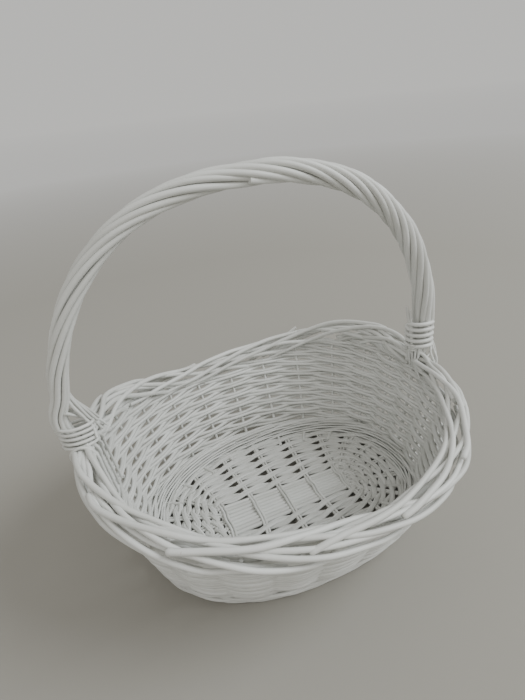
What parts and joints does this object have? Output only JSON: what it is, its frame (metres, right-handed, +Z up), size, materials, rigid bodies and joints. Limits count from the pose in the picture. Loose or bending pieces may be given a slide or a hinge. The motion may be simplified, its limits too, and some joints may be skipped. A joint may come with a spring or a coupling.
{
  "type": "wicker flower basket",
  "caption": "Oval woven-willow basket with a boat-shaped rim and a fixed twisted bow handle, for carrying petals or small flowers.",
  "frame": {"origin": "on the floor, below the middle of the whole outline in X and Y", "axes": "+Z up; X along the basket's length and the handle's span; Y across it; the handle's top leans a little towards -Y, the front"},
  "size_m": [0.3764, 0.3332, 0.3521],
  "materials": {
    "base_weave": "white satin paint on peeled willow rods",
    "base_sticks": "white satin paint on peeled willow rods",
    "upsett": "white satin paint on peeled willow rods",
    "side_weave": "white satin paint on peeled willow rods",
    "stakes": "white satin paint on peeled willow rods",
    "border": "white satin paint on peeled willow rods",
    "handle": "white satin paint on peeled willow rods",
    "bindings": "white satin paint on peeled willow rods"
  },
  "bodies": {
    "root": {"base_weave": "base_weave", "base_cross_stick_1": "base_sticks", "base_cross_stick_2": "base_sticks", "base_cross_stick_3": "base_sticks", "base_cross_stick_4": "base_sticks", "base_cross_stick_5": "base_sticks", "base_long_stick_1": "base_sticks", "base_long_stick_2": "base_sticks", "base_long_stick_3": "base_sticks", "base_long_stick_4": "base_sticks", "base_long_stick_5": "base_sticks", "base_long_stick_6": "base_sticks", "base_long_stick_7": "base_sticks", "base_long_stick_8": "base_sticks", "base_long_stick_9": "base_sticks", "upsett_ring": "upsett", "side_weave": "side_weave", "stake_1": "stakes", "stake_2": "stakes", "stake_3": "stakes", "stake_4": "stakes", "stake_5": "stakes", "stake_6": "stakes", "stake_7": "stakes", "stake_8": "stakes", "stake_9": "stakes", "stake_10": "stakes", "stake_11": "stakes", "stake_12": "stakes", "stake_13": "stakes", "stake_14": "stakes", "stake_15": "stakes", "stake_16": "stakes", "stake_17": "stakes", "stake_18": "stakes", "stake_19": "stakes", "stake_20": "stakes", "stake_21": "stakes", "stake_22": "stakes", "border_back_1": "border", "border_back_2": "border", "border_back_3": "border", "border_front_1": "border", "border_front_2": "border", "border_front_3": "border", "handle_core": "handle", "handle_strand_1": "handle", "handle_strand_2": "handle", "handle_strand_3": "handle", "handle_strand_4": "handle", "handle_strand_5": "handle", "handle_strand_6": "handle", "handle_strand_7": "handle", "handle_strand_8": "handle", "right_binding": "bindings", "left_binding": "bindings", "right_tie_back": "bindings", "left_tie_back": "bindings", "left_tie_front": "bindings", "right_tie_front": "bindings"}
  },
  "joints": []
}
